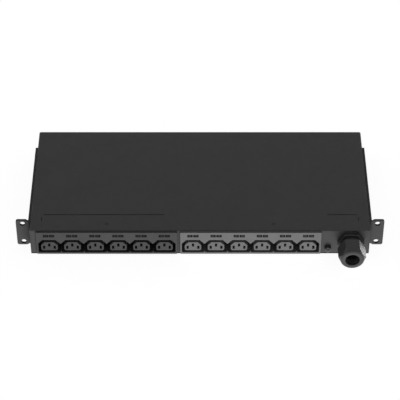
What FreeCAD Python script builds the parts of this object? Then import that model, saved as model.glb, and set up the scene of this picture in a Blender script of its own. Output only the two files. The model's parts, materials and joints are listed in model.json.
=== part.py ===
import FreeCAD, Part
import math
import os

# Rack power distribution unit, one rack unit high, with two banks of outlets,
# a cable gland and an earth stud on its front.
# Millimetres. X runs to the right, Y from the front to the back, Z up.
# The origin is the centre of the four rack holes, on the rear face of the ears,
# which is the plane that meets the rack's rails.

# Sheet metal
SHEET = 1.2
BEND_INNER_R = 0.3
SEAM = 0.15
FLANGE_GAP = 0.06
BODY_HEIGHT = 41.2
BODY_DEPTH = 197.7

# Rack ears and the side plates they are bent from
EAR_SHEET = 3.0
EAR_BEND_INNER_R = 0.7
EAR_HEIGHT = 43.3
EAR_WIDTH = 19.3
EAR_CORNER_R = 2.8
EAR_RELIEF_DROP = 1.9
EAR_RELIEF_RUN = 2.6
EAR_LEAD = 18.0
RACK_HOLE_D = 7.0
RACK_HOLE_INSET = 8.75
RACK_HOLE_SPACING = 31.75
SIDE_PLATE_LENGTH = 148.8
SIDE_PLATE_CORNER_R = 3.0

# Countersunk screws that hold the side plates
SIDE_SCREW_D = 4.0
SIDE_SCREW_HEAD_D = 8.0
SIDE_SCREW_LENGTH = 8.0
SIDE_SCREW_FROM_EAR = 30.0
SIDE_SCREW_FROM_REAR = 28.0
SIDE_SCREW_SPACING = 18.0
SIDE_DRIVE_SPAN = 4.4
SCREW_CLEARANCE = 0.2
DRIVE_WIDTH = 0.9
DRIVE_DEPTH = 1.2

# Top cover, its rear lip and the screws in the lip
COVER_LIP = 12.0
LIP_SCREW_D = 3.0
LIP_SCREW_HEAD_D = 5.6
LIP_SCREW_HEAD_H = 1.8
LIP_SCREW_LENGTH = 6.0
LIP_SCREW_INSET = 42.0
LIP_DRIVE_SPAN = 2.8
TRAY_SIDE_HEIGHT = 36.0

# Front panel: its top flange lies flush in a notch of the cover
PANEL_RETURN = 15.0
FLANGE_DEPTH = 30.0
FLANGE_INSET = 15.0
FLANGE_CORNER_R = 2.2
RELEASE_SLOT = 1.0
LEFT_SLOT_LENGTH = 158.0
RIGHT_SLOT_LENGTH = 38.0
SIDE_SLOT_LENGTH = 4.6
SIDE_SLOT_SETBACK = 5.7
STRIP_START = 7.0
STRIP_LAP = 12.0
STRIP_OVERHANG = 5.0
RIVET_HEAD_D = 5.0
RIVET_D = 3.0
RIVET_CONE = 1.0
RIVET_SETBACK = 12.8

# Outlet banks
OUTLETS = 6
BANK_MARGIN = 8.15
BANK_GAP = 3.8
BANK_END = 1.75
BANK_TOP_GAP = 0.35
BANK_BOTTOM_GAP = 2.4
BEZEL_PROUD = 3.6
BEZEL_LAP = 1.0
BEZEL_TOP_LAP = 2.4
BEZEL_CORNER_R = 1.5
BEZEL_EDGE_R = 0.4
MOULD_FIT = 0.2
LATCH_HEIGHT = 1.0
LATCH_RUN = 4.5
LATCH_WIDTH = 10.0

# Outlet wells, islands and contact slots
WELL_WIDTH = 29.4
WELL_HEIGHT = 22.5
WELL_GAP = 0.7
WELL_RIB = 1.8
WELL_RIM = 2.9
WELL_DEPTH = 17.0
WELL_CHAMFER_X = 5.9
WELL_CHAMFER_Z = 6.7
WELL_FOOT_R = 2.0
WELL_SHOULDER_R = 0.6
CHANNEL = 3.9
ISLAND_CHAMFER_X = 5.0
ISLAND_CHAMFER_Z = 5.6
ISLAND_FOOT_R = 2.8
ISLAND_SHOULDER_R = 1.8
ISLAND_EDGE_R = 0.35
SLOT_WIDTH = 3.0
SLOT_HEIGHT = 5.5
SLOT_DEPTH = 7.0
LIVE_SLOT_OFFSET = 7.0
LIVE_SLOT_DROP = 1.9
EARTH_SLOT_RISE = 2.2
CARRIER_BASE = 2.0

# Bus strips, their forked contacts and the shell behind them
LEAF = 0.6
LEAF_GAP = 1.9
LEAF_HEIGHT = 4.2
LEAF_FIT = 0.3
BUS_SHEET = 0.8
BUS_BAND = 4.0
BUS_SPACING = 2.2
BUS_OFFSET = 5.7
TAB_INSET = 6.0
TAB_PITCH = 6.0
TAB_LENGTH = 9.0
SHELL_DEPTH = 12.0
SHELL_WALL = 1.6
SHELL_CORNER_R = 2.0

# Cable gland, measured forward from the panel's face
GLAND_INSET = 25.0
GLAND_TOP_GAP = 1.0
GLAND_FLATS = 31.4
GLAND_SHANK_D = 25.0
GLAND_SHANK_INSIDE = 10.0
GLAND_BORE_D = 19.0
GASKET_WIDTH = 2.3
GASKET_T = 1.0
GLAND_COLLAR = 1.8
GLAND_GROOVE = 2.2
GLAND_GROOVE_DEPTH = 1.4
GLAND_RIM = 2.4
GLAND_NECK_D = 27.0
GLAND_NECK = 6.7
SPIGOT_D = 24.0
SPIGOT = 11.0
NUT_LENGTH = 22.8
NUT_MOUTH_D = 18.5
NUT_MOUTH = 4.0
NUT_MOUTH_EDGE_R = 1.0
NUT_DOME_R = 4.5
NUT_CORNER_CHAMFER = 3.0
NUT_BACK_CHAMFER = 0.9
SEAL_BORE_D = 18.6
LOCKNUT_FLATS = 31.0
LOCKNUT_T = 5.0
THREAD_FIT = 0.1

# Earth stud and what is on it
STUD_INSET = 9.4
STUD_TO_GLAND = 29.45
STUD_RISE = 11.0
STUD_D = 5.0
STUD_TIP = 1.4
STUD_CHAMFER = 0.6
STUD_NUT_FLATS = 8.0
STUD_NUT_T = 4.0
STUD_WASHER_D = 9.0
STUD_WASHER_T = 1.0
TOOTHED_WASHER_D = 9.2
TOOTHED_WASHER_T = 0.7
WASHER_TEETH = 12
TOOTH_DEPTH = 0.7
LUG_D = 9.6
LUG_T = 1.0
LUG_CLEARANCE = 0.4

# Terminal block and leads
LEAD_D = 4.0
LEAD_BEND_R = 7.0
LEAD_STRAIGHT = 3.0
BOOT_D = 5.4
BOOT_LENGTH = 12.0
BOOT_COVERS = 7.0
POLE_PITCH = 8.0
BLOCK_OFFSET = 15.0
BLOCK_WIDTH = 20.0
BLOCK_ABOVE_ENTRY = 6.0
BLOCK_BEVEL = 2.25
BLOCK_WALL = 1.2
BLOCK_PEG_D = 4.0
ENTRY_DEPTH = 7.0
SLEEVE_D = 5.6
SLEEVE_INSET = 1.2
POLE_SCREW_D = 2.6
POLE_SCREW_HEAD_D = 3.6
POLE_SCREW_HEAD_H = 1.4
POLE_SCREW_SPACING = 8.0
POLE_SCREW_SLOT = 0.6
POLE_SCREW_SLOT_DEPTH = 0.7

V = FreeCAD.Vector
TINY = 1e-6

# Layout of the body
outlet_pitch = WELL_WIDTH + WELL_GAP
bank_width = OUTLETS * outlet_pitch + 2 * BANK_END
input_bay = STUD_INSET + STUD_TO_GLAND + GLAND_INSET
body_width = BANK_MARGIN + 2 * bank_width + BANK_GAP + input_bay
half = body_width / 2
inner_half = half - SHEET - SEAM
bend_r = BEND_INNER_R + SHEET
body_bottom = -BODY_HEIGHT / 2
body_top = body_bottom + BODY_HEIGHT
body_middle = body_bottom + BODY_HEIGHT / 2
floor_top = body_bottom + SHEET
roof = body_top - SHEET
front = -EAR_SHEET - EAR_LEAD
rear = front + BODY_DEPTH
back_wall = rear - SHEET - SEAM
plate_rear = SIDE_PLATE_LENGTH - EAR_SHEET
flange_half = half - FLANGE_INSET
flange_rear = front + FLANGE_DEPTH

# Layout of the outlet banks
bank_lefts = (-half + BANK_MARGIN, -half + BANK_MARGIN + bank_width + BANK_GAP)
bank_top = body_top - BANK_TOP_GAP
bank_bottom = body_bottom + BANK_BOTTOM_GAP
mould_inset = BEZEL_LAP + MOULD_FIT
mould_top_inset = BEZEL_TOP_LAP + MOULD_FIT
bezel_front = front - BEZEL_PROUD
housing_back = bezel_front + WELL_DEPTH
carrier_back = housing_back + CARRIER_BASE
shell_back = carrier_back + SHELL_DEPTH
tab_end = shell_back + TAB_LENGTH
outlet_z = bank_bottom + WELL_RIM + WELL_HEIGHT / 2
fork_width = LEAF_GAP + 2 * LEAF
pocket_width = fork_width + 2 * LEAF_FIT
pocket_height = LEAF_HEIGHT + 2 * LEAF_FIT
live_z = outlet_z - LIVE_SLOT_DROP
earth_z = outlet_z + EARTH_SLOT_RISE

# Layout of the cable entry, the earth stud and the terminal block
gland_x = half - GLAND_INSET
gland_z = roof - GLAND_TOP_GAP - LOCKNUT_FLATS / 2
stud_x = gland_x - STUD_TO_GLAND
stud_z = body_bottom + STUD_RISE
collar_start = GASKET_T
groove_start = collar_start + GLAND_COLLAR
rim_start = groove_start + GLAND_GROOVE
neck_start = rim_start + GLAND_RIM
nut_start = neck_start + GLAND_NECK
nut_end = nut_start + NUT_LENGTH
spigot_end = nut_start + SPIGOT
mouth_start = nut_end - NUT_MOUTH
nut_bore_r = SPIGOT_D / 2 + THREAD_FIT
boot_start = tab_end - BOOT_COVERS
boot_end = boot_start + BOOT_LENGTH
first_lane = boot_end + LEAD_BEND_R + LEAD_STRAIGHT
block_left = stud_x + BLOCK_OFFSET
block_right = block_left + BLOCK_WIDTH
entry_z = stud_z
lug_wire_x = stud_x + STUD_NUT_FLATS / math.sqrt(3) + LUG_CLEARANCE + LEAD_D / 2


def at_xz(y):
    """Place a flat outline, drawn across and up, at a depth."""
    return lambda u, v: V(u, y, v)


def at_yz(x):
    """Place a flat outline, drawn back and up, at a width."""
    return lambda u, v: V(x, u, v)


def at_xy(z):
    """Place a flat outline, drawn across and back, at a height."""
    return lambda u, v: V(u, v, z)


def rounded_face(corners, place):
    """Flat face from corners (u, v, radius), with an arc at each radius."""
    points = [V(u, v, 0) for u, v, r in corners]
    edges = []
    ends = []
    for i, (u, v, r) in enumerate(corners):
        here = points[i]
        to_last = (points[i - 1] - here).normalize()
        to_next = (points[(i + 1) % len(points)] - here).normalize()
        if r <= 0:
            ends.append((here, here, here))
            continue
        half_angle = to_last.getAngle(to_next) / 2
        reach = r / math.tan(half_angle)
        middle = (to_last + to_next).normalize()
        tip = here + middle * (r / math.sin(half_angle) - r)
        ends.append((here + to_last * reach, tip, here + to_next * reach))
    for i, (start, tip, end) in enumerate(ends):
        after = ends[(i + 1) % len(ends)][0]
        if start.distanceToPoint(end) > TINY:
            arc = (place(p.x, p.y) for p in (start, tip, end))
            edges.append(Part.Arc(*arc).toShape())
        if end.distanceToPoint(after) > TINY:
            edges.append(Part.makeLine(place(end.x, end.y), place(after.x, after.y)))
    return Part.Face(Part.Wire(edges))


def prism(corners, place, direction):
    """Solid swept from a flat outline along a straight direction."""
    return rounded_face(corners, place).extrude(direction)


def folded(points, thickness, inner_r, side, place, direction):
    """Folded sheet: points lie on its outside, side 1 puts the sheet to their left."""
    path = [V(u, v, 0) for u, v in points]
    normals = []
    for start, end in zip(path, path[1:]):
        along = (end - start).normalize()
        normals.append(V(-along.y, along.x, 0) * side)
    outside = []
    inside = []
    for i, point in enumerate(path):
        before = normals[max(i - 1, 0)]
        after = normals[min(i, len(normals) - 1)]
        shift = (before + after) * (thickness / (1 + before.dot(after)))
        bend = 0 < i < len(path) - 1
        inner = point + shift
        outside.append((point.x, point.y, inner_r + thickness if bend else 0))
        inside.append((inner.x, inner.y, inner_r if bend else 0))
    return prism(outside + inside[::-1], place, direction)


def block(x0, x1, y0, y1, z0, z1):
    """Box between two corners."""
    return Part.makeBox(x1 - x0, y1 - y0, z1 - z0, V(x0, y0, z0))


def rod_y(x, z, y0, y1, radius):
    """Round rod along Y."""
    return Part.makeCylinder(radius, y1 - y0, V(x, y0, z), V(0, 1, 0))


def rod_z(x, y, z0, z1, radius):
    """Round rod along Z."""
    return Part.makeCylinder(radius, z1 - z0, V(x, y, z0), V(0, 0, 1))


def hexagon_y(x, z, y0, y1, flats, turn):
    """Hexagonal bar along Y; turn is the angle of its first corner in degrees."""
    radius = flats / math.sqrt(3)
    corners = []
    for i in range(6):
        angle = math.radians(turn + 60 * i)
        corners.append((x + radius * math.cos(angle), z + radius * math.sin(angle), 0))
    return prism(corners, at_xz(y0), V(0, y1 - y0, 0))


def turned_y(x, z, corners):
    """Turned solid about an axis along Y, from an outline (distance ahead, radius, rounding)."""
    outline = [(front - ahead, z + radius, rounding) for ahead, radius, rounding in corners]
    return rounded_face(outline, at_yz(x)).revolve(V(x, 0, z), V(0, 1, 0), 360)


def united(pieces):
    """One solid from pieces that touch."""
    return pieces[0].fuse(pieces[1:]).removeSplitter()


def edges_where(shape, test):
    """Edges whose middle passes a test."""
    return [e for e in shape.Edges if test(e.CenterOfMass)]


def side_screw_places():
    """Side, Y and Z of each countersunk screw in the side plates."""
    places = []
    for side in (-1, 1):
        for y in (SIDE_SCREW_FROM_EAR, plate_rear - SIDE_SCREW_FROM_REAR):
            for z in (-SIDE_SCREW_SPACING / 2, SIDE_SCREW_SPACING / 2):
                places.append((side, y, z))
    return places


def side_rod(side, y, z, x0, x1, radius):
    """Round rod along X, from x0 out to x1 on one side."""
    return Part.makeCylinder(radius, x1 - x0, V(side * x0, y, z), V(side, 0, 0))


def side_screw(side, y, z, clearance):
    """Countersunk screw, or with a clearance the hole that takes it."""
    face = half + EAR_SHEET
    shank_r = SIDE_SCREW_D / 2 + clearance
    head_r = SIDE_SCREW_HEAD_D / 2 + clearance
    cone = head_r - shank_r
    head = Part.makeCone(head_r, shank_r, cone, V(side * face, y, z), V(-side, 0, 0))
    shank = side_rod(side, y, z, face - SIDE_SCREW_LENGTH, face - cone, shank_r)
    return united([head, shank])


def lip_screw_places():
    """X of each screw in the cover's rear lip."""
    return (-half + LIP_SCREW_INSET, 0, half - LIP_SCREW_INSET)


lip_screw_z = body_top - COVER_LIP / 2


def lip_holes():
    """Holes through the rear lip and the wall inside it."""
    radius = LIP_SCREW_D / 2 + SCREW_CLEARANCE
    start = back_wall - 2 * SHEET
    return [rod_y(x, lip_screw_z, start, rear + SHEET, radius) for x in lip_screw_places()]


def chassis_tray():
    """Floor with its side walls and rear wall folded up."""
    side_start = front + PANEL_RETURN + bend_r
    side_end = back_wall - bend_r
    side_top = body_bottom + TRAY_SIDE_HEIGHT
    trough = folded(
        [(-inner_half, side_top), (-inner_half, body_bottom),
         (inner_half, body_bottom), (inner_half, side_top)],
        SHEET, BEND_INNER_R, 1, at_xz(side_start), V(0, side_end - side_start, 0))
    apron = block(-inner_half, inner_half, front, side_start, body_bottom, floor_top)
    wall_half = inner_half - bend_r
    wall = folded(
        [(side_start, body_bottom), (back_wall, body_bottom), (back_wall, roof - SEAM)],
        SHEET, BEND_INNER_R, 1, at_yz(-wall_half), V(2 * wall_half, 0, 0))
    tray = united([trough, apron, wall])
    holes = lip_holes()
    for side, y, z in side_screw_places():
        hole_r = SIDE_SCREW_D / 2 + SCREW_CLEARANCE
        holes.append(side_rod(side, y, z, inner_half - 2 * SHEET, half, hole_r))
    for y in block_peg_places():
        holes.append(rod_z((block_left + block_right) / 2, y, body_bottom, floor_top,
                           BLOCK_PEG_D / 2 + SCREW_CLEARANCE))
    return tray.cut(holes)


def flange_outline(grow):
    """Outline of the panel's top flange, grown by a gap, from the front to its rear corners."""
    width = flange_half + grow
    depth = flange_rear + grow
    corner = FLANGE_CORNER_R + grow
    return [(-width, front - grow, 0), (width, front - grow, 0),
            (width, depth, corner), (-width, depth, corner)]


def top_cover():
    """Top with its sides and rear lip folded down, notched for the panel's flange."""
    top_end = rear - bend_r
    foot = body_bottom + SEAM
    hood = folded(
        [(-half, foot), (-half, body_top), (half, body_top), (half, foot)],
        SHEET, BEND_INNER_R, -1, at_xz(front), V(0, top_end - front, 0))
    lip_half = half - bend_r
    lip = folded(
        [(flange_rear + STRIP_LAP, body_top), (rear, body_top), (rear, body_top - COVER_LIP)],
        SHEET, BEND_INNER_R, -1, at_yz(-lip_half), V(2 * lip_half, 0, 0))
    cover = united([hood, lip])
    through = V(0, 0, 2 * SHEET)
    cuts = [prism(flange_outline(FLANGE_GAP), at_xy(roof - SHEET / 2), through)]
    cuts += release_slots()
    cuts += lip_holes()
    for side, y, z in side_screw_places():
        hole_r = SIDE_SCREW_D / 2 + SCREW_CLEARANCE
        cuts.append(side_rod(side, y, z, inner_half, half + SHEET, hole_r))
    return cover.cut(cuts)


def release_slots():
    """Four narrow slots along the seam, where the cover is prised off the flange."""
    z0 = roof - SHEET / 2
    z1 = body_top + SHEET / 2
    start = flange_half - FLANGE_CORNER_R
    side_end = flange_rear - SIDE_SLOT_SETBACK
    side_start = side_end - SIDE_SLOT_LENGTH
    back = flange_rear + RELEASE_SLOT
    out = flange_half + RELEASE_SLOT
    return [
        block(-start, LEFT_SLOT_LENGTH - start, flange_rear, back, z0, z1),
        block(start - RIGHT_SLOT_LENGTH, start, flange_rear, back, z0, z1),
        block(-out, -flange_half, side_start, side_end, z0, z1),
        block(flange_half, out, side_start, side_end, z0, z1),
    ]


def bank_outline(left, inset, top_inset, corner):
    """Outline of a bank's face, drawn in by an inset and from the top by another."""
    x0 = left + inset
    x1 = left + bank_width - inset
    z0 = bank_bottom + inset
    z1 = bank_top - top_inset
    return [(x0, z0, corner), (x1, z0, corner), (x1, z1, corner), (x0, z1, corner)]


def mould_outline(left, corner):
    """Outline of a bank behind the panel, clear of the panel's opening."""
    return bank_outline(left, mould_inset, mould_top_inset, corner)


def front_panel():
    """Face with its top flange and bottom return, cut for the banks, gland and stud."""
    upper = folded(
        [(front, body_middle), (front, body_top), (flange_rear, body_top)],
        SHEET, BEND_INNER_R, -1, at_yz(-flange_half), V(2 * flange_half, 0, 0))
    corners = edges_where(
        upper, lambda c: abs(c.y - flange_rear) < TINY and abs(abs(c.x) - flange_half) < TINY)
    upper = upper.makeFillet(FLANGE_CORNER_R, corners)
    lower = folded(
        [(front + PANEL_RETURN, floor_top), (front, floor_top), (front, roof - SEAM)],
        SHEET, BEND_INNER_R, -1, at_yz(-inner_half), V(2 * inner_half, 0, 0))
    panel = united([upper, lower])
    through = V(0, 2 * SHEET, 0)
    behind = front - SHEET / 2
    cuts = []
    for left in bank_lefts:
        opening = bank_outline(left, BEZEL_LAP, BEZEL_TOP_LAP, BEZEL_CORNER_R)
        cuts.append(prism(opening, at_xz(behind), through))
    cuts.append(rod_y(gland_x, gland_z, behind, behind + 2 * SHEET, GLAND_SHANK_D / 2 + SCREW_CLEARANCE))
    cuts.append(rod_y(stud_x, stud_z, behind, behind + 2 * SHEET, STUD_D / 2 + THREAD_FIT))
    cuts += [rivet(x, SCREW_CLEARANCE / 2) for x in rivet_places()]
    return panel.cut(cuts)


def rivet_places():
    """X of each flush rivet: over the left bank's middle, and one outlet right of the right bank's."""
    left, right = bank_lefts
    return (left + bank_width / 2, right + bank_width / 2 + outlet_pitch)


def rivet(x, clearance):
    """Flush rivet through flange and strip, or with a clearance the hole that takes it."""
    y = front + RIVET_SETBACK
    shank_r = RIVET_D / 2 + clearance
    head_r = RIVET_HEAD_D / 2 + clearance
    head = Part.makeCone(head_r, shank_r, RIVET_CONE, V(x, y, body_top), V(0, 0, -1))
    shank = rod_z(x, y, roof - SHEET, body_top - RIVET_CONE, shank_r)
    return united([head, shank])


def seam_strip():
    """Strip riveted under the flange, which backs the seam and carries the cover's front edge."""
    reach = flange_half + STRIP_OVERHANG
    strip = block(-reach, reach, front + STRIP_START, flange_rear + STRIP_LAP, roof - SHEET, roof)
    return strip.cut([rivet(x, SCREW_CLEARANCE / 2) for x in rivet_places()])


def rack_ear(side):
    """Side plate with the ear bent out at its front end."""
    neck = EAR_HEIGHT / 2 - EAR_RELIEF_DROP
    tall = EAR_HEIGHT / 2
    edge = half + EAR_WIDTH
    relief = half + EAR_SHEET + EAR_BEND_INNER_R
    shoulder = relief + EAR_RELIEF_RUN
    plate = folded(
        [(side * half, plate_rear), (side * half, -EAR_SHEET), (side * shoulder, -EAR_SHEET)],
        EAR_SHEET, EAR_BEND_INNER_R, side, at_xy(-neck), V(0, 0, 2 * neck))
    corners = edges_where(plate, lambda c: abs(c.y - plate_rear) < TINY and abs(abs(c.z) - neck) < TINY)
    plate = plate.makeFillet(SIDE_PLATE_CORNER_R, corners)
    wing = prism(
        [(side * relief, -neck, 0), (side * shoulder, -tall, 0), (side * edge, -tall, EAR_CORNER_R),
         (side * edge, tall, EAR_CORNER_R), (side * shoulder, tall, 0), (side * relief, neck, 0)],
        at_xz(-EAR_SHEET), V(0, EAR_SHEET, 0))
    ear = united([plate, wing])
    hole_x = side * (edge - RACK_HOLE_INSET)
    cuts = []
    for z in (-RACK_HOLE_SPACING / 2, RACK_HOLE_SPACING / 2):
        cuts.append(rod_y(hole_x, z, -EAR_SHEET, 0, RACK_HOLE_D / 2))
    cuts += [side_screw(*place, SCREW_CLEARANCE) for place in side_screw_places() if place[0] == side]
    return ear.cut(cuts)


def cross_spans(span):
    """Half sizes of the two bars that cross in a screw's drive recess."""
    return ((span / 2, DRIVE_WIDTH / 2), (DRIVE_WIDTH / 2, span / 2))


def side_screws():
    """Countersunk screws that hold the side plates, with a cross recess."""
    face = half + EAR_SHEET
    screws = []
    for side, y, z in side_screw_places():
        x0, x1 = sorted((side * face, side * (face - DRIVE_DEPTH)))
        cross = [block(x0, x1, y - v, y + v, z - w, z + w) for v, w in cross_spans(SIDE_DRIVE_SPAN)]
        screws.append(side_screw(side, y, z, 0).cut(cross))
    return Part.makeCompound(screws)


def lip_screws():
    """Pan-head screws that hold the cover's rear lip, with a cross recess."""
    top = rear + LIP_SCREW_HEAD_H
    screws = []
    for x in lip_screw_places():
        head = rod_y(x, lip_screw_z, rear, top, LIP_SCREW_HEAD_D / 2)
        rim = edges_where(
            head, lambda c: c.y > rear + LIP_SCREW_HEAD_H / 2 and abs(c.z - lip_screw_z) < TINY)
        head = head.makeFillet(LIP_SCREW_HEAD_H / 2, [e for e in rim if e.Closed])
        shank = rod_y(x, lip_screw_z, rear - LIP_SCREW_LENGTH, rear, LIP_SCREW_D / 2)
        cross = [block(x - u, x + u, top - DRIVE_DEPTH, top, lip_screw_z - w, lip_screw_z + w)
                 for u, w in cross_spans(LIP_DRIVE_SPAN)]
        screws.append(united([head, shank]).cut(cross))
    return Part.makeCompound(screws)


def outlet_centres(left):
    """X of each outlet of a bank."""
    return [left + BANK_END + outlet_pitch * (i + 0.5) for i in range(OUTLETS)]


def outlet_outline(x, draw_in, cut_x, cut_z, foot_r, shoulder_r):
    """Outlet's outline, drawn in by a width, with its two upper corners cut off."""
    w = WELL_WIDTH / 2 - draw_in
    z0 = outlet_z - WELL_HEIGHT / 2 + draw_in
    z1 = outlet_z + WELL_HEIGHT / 2 - draw_in
    return [(x - w, z0, foot_r), (x + w, z0, foot_r), (x + w, z1 - cut_z, shoulder_r),
            (x + w - cut_x, z1, shoulder_r), (x - w + cut_x, z1, shoulder_r), (x - w, z1 - cut_z, shoulder_r)]


def outlet_housing(left):
    """Moulded face of a bank: bezel proud of the panel, wells that open into one trough, latches behind."""
    bezel = prism(bank_outline(left, 0, 0, BEZEL_CORNER_R), at_xz(bezel_front), V(0, BEZEL_PROUD, 0))
    bezel = bezel.makeFillet(BEZEL_EDGE_R, edges_where(bezel, lambda c: abs(c.y - bezel_front) < TINY))
    mould = prism(mould_outline(left, BEZEL_CORNER_R), at_xz(front), V(0, housing_back - front, 0))
    pieces = [bezel, mould]
    catch = front + SHEET + SEAM
    for x in outlet_centres(left)[::2]:
        for edge, up in ((bank_top - mould_top_inset, 1), (bank_bottom + mould_inset, -1)):
            wedge = [(catch, edge - up * LATCH_HEIGHT, 0), (catch, edge + up * LATCH_HEIGHT, 0),
                     (catch + LATCH_RUN, edge, 0), (catch + LATCH_RUN, edge - up * LATCH_HEIGHT, 0)]
            pieces.append(prism(wedge, at_yz(x - LATCH_WIDTH / 2), V(LATCH_WIDTH, 0, 0)))
    cuts = []
    for x in outlet_centres(left):
        well = outlet_outline(x, 0, WELL_CHAMFER_X, WELL_CHAMFER_Z, WELL_FOOT_R, WELL_SHOULDER_R)
        cuts.append(prism(well, at_xz(bezel_front), V(0, WELL_DEPTH, 0)))
    rib_top = outlet_z - WELL_HEIGHT / 2 + WELL_RIB
    tooth_tip = outlet_z + WELL_HEIGHT / 2 - WELL_CHAMFER_Z
    for x in outlet_centres(left)[1:]:
        between = x - outlet_pitch / 2
        cuts.append(block(between - WELL_GAP, between + WELL_GAP, bezel_front, housing_back,
                          rib_top, tooth_tip))
    return united(pieces).cut(cuts)


def contact_places(x):
    """X and Z of an outlet's line, neutral and earth slot."""
    return {"line": (x - LIVE_SLOT_OFFSET, live_z), "neutral": (x + LIVE_SLOT_OFFSET, live_z),
            "earth": (x, earth_z)}


def contact_carrier(left):
    """Moulded base with the islands that stand in the wells, slotted for the contacts."""
    base = prism(mould_outline(left, BEZEL_CORNER_R), at_xz(housing_back), V(0, CARRIER_BASE, 0))
    pieces = [base]
    cuts = []
    for x in outlet_centres(left):
        outline = outlet_outline(
            x, CHANNEL, ISLAND_CHAMFER_X, ISLAND_CHAMFER_Z, ISLAND_FOOT_R, ISLAND_SHOULDER_R)
        island = prism(outline, at_xz(bezel_front), V(0, WELL_DEPTH, 0))
        rim = edges_where(island, lambda c: abs(c.y - bezel_front) < TINY)
        pieces.append(island.makeFillet(ISLAND_EDGE_R, rim))
        for slot_x, slot_z in contact_places(x).values():
            cuts.append(block(slot_x - SLOT_WIDTH / 2, slot_x + SLOT_WIDTH / 2, bezel_front,
                              bezel_front + SLOT_DEPTH, slot_z - SLOT_HEIGHT / 2, slot_z + SLOT_HEIGHT / 2))
            cuts.append(block(slot_x - pocket_width / 2, slot_x + pocket_width / 2, bezel_front + SLOT_DEPTH,
                              carrier_back, slot_z - pocket_height / 2, slot_z + pocket_height / 2))
    return united(pieces).cut(cuts)


def bus_layout(left):
    """For each pole: its strip's depth, its band's middle height and its tab's X."""
    tab = left + bank_width - TAB_INSET
    behind = carrier_back + BUS_SHEET + BUS_SPACING
    return {"neutral": (behind, live_z, tab),
            "earth": (carrier_back, earth_z + LEAF_FIT, tab - TAB_PITCH),
            "line": (carrier_back, live_z - BUS_OFFSET, tab - 2 * TAB_PITCH)}


def bus(left, pole):
    """Stamped strip with a forked contact for each outlet and a tab bent back at its end."""
    depth, band_z, tab_x = bus_layout(left)[pole]
    low = band_z - BUS_BAND / 2
    high = band_z + BUS_BAND / 2
    pieces = []
    places = [contact_places(x)[pole] for x in outlet_centres(left)]
    start = places[0][0] - fork_width / 2
    strip = [(start, depth), (tab_x + BUS_SHEET / 2, depth), (tab_x + BUS_SHEET / 2, tab_end)]
    pieces.append(folded(strip, BUS_SHEET, BEND_INNER_R, 1, at_xy(low), V(0, 0, BUS_BAND)))
    tip = bezel_front + SLOT_DEPTH + LEAF_FIT
    for x, z in places:
        w = fork_width / 2
        g = LEAF_GAP / 2
        fork = [(x - w, tip, 0), (x - g, tip, 0), (x - g, depth, 0), (x + g, depth, 0), (x + g, tip, 0),
                (x + w, tip, 0), (x + w, depth + BUS_SHEET, 0), (x - w, depth + BUS_SHEET, 0)]
        pieces.append(prism(fork, at_xy(z - LEAF_HEIGHT / 2), V(0, 0, LEAF_HEIGHT)))
        if low > z or high < z:
            pieces.append(block(x - w, x + w, depth, depth + BUS_SHEET, min(low, z), max(high, z)))
    return united(pieces)


def back_shell(left):
    """Moulded shell that closes the back of a bank, slotted for the three tabs."""
    depth = V(0, SHELL_DEPTH, 0)
    shell = prism(mould_outline(left, SHELL_CORNER_R), at_xz(carrier_back), depth)
    inside = bank_outline(left, mould_inset + SHELL_WALL, mould_top_inset + SHELL_WALL,
                          SHELL_CORNER_R - SHELL_WALL / 2)
    hollow = prism(inside, at_xz(carrier_back), depth - V(0, SHELL_WALL, 0))
    cuts = [hollow]
    for depth_y, z, x in bus_layout(left).values():
        w = BUS_SHEET / 2 + LEAF_FIT
        h = BUS_BAND / 2 + LEAF_FIT
        cuts.append(block(x - w, x + w, shell_back - 2 * SHELL_WALL, shell_back, z - h, z + h))
    return shell.cut(cuts)


def ring_y(x, z, start, end, outer_d, inner_d):
    """Flat ring on an axis along Y, between two distances ahead of the panel's face."""
    outer = rod_y(x, z, front - end, front - start, outer_d / 2)
    return outer.cut(rod_y(x, z, front - end, front - start, inner_d / 2))


def gland_gasket():
    """Flat gasket between the panel and the gland's body."""
    bore = GLAND_SHANK_D + 2 * SCREW_CLEARANCE
    return ring_y(gland_x, gland_z, 0, GASKET_T, bore + 2 * GASKET_WIDTH, bore)


def gland_body():
    """Gland's body: hexagon with its groove, neck and spigot ahead, shank through the panel."""
    corner_r = GLAND_FLATS / math.sqrt(3)
    inner_end = -SHEET - GLAND_SHANK_INSIDE
    groove_r = GLAND_FLATS / 2 - GLAND_GROOVE_DEPTH
    head = hexagon_y(gland_x, gland_z, front - neck_start, front - collar_start, GLAND_FLATS, 0)
    softened = turned_y(gland_x, gland_z, [
        (collar_start, 0, 0), (collar_start, corner_r - NUT_BACK_CHAMFER, 0),
        (collar_start + NUT_BACK_CHAMFER, corner_r, 0), (groove_start, corner_r, 0),
        (groove_start, groove_r, 0),
        (rim_start, groove_r, 0), (rim_start, corner_r, 0), (neck_start - NUT_BACK_CHAMFER, corner_r, 0),
        (neck_start, corner_r - NUT_BACK_CHAMFER, 0), (neck_start, 0, 0)])
    tube = turned_y(gland_x, gland_z, [
        (inner_end, GLAND_BORE_D / 2, 0), (inner_end, GLAND_SHANK_D / 2, 0),
        (collar_start, GLAND_SHANK_D / 2, 0),
        (collar_start, GLAND_NECK_D / 2, 0), (nut_start, GLAND_NECK_D / 2, 0), (nut_start, SPIGOT_D / 2, 0),
        (spigot_end, SPIGOT_D / 2, 0), (spigot_end, GLAND_BORE_D / 2, 0)])
    bore = rod_y(gland_x, gland_z, front - spigot_end, front - inner_end, GLAND_BORE_D / 2)
    return united([head.common(softened), tube]).cut(bore)


def gland_seal():
    """Rubber sleeve that grips the cable, held between the spigot and the nut's mouth."""
    return ring_y(gland_x, gland_z, spigot_end, mouth_start, SPIGOT_D, SEAL_BORE_D)


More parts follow.
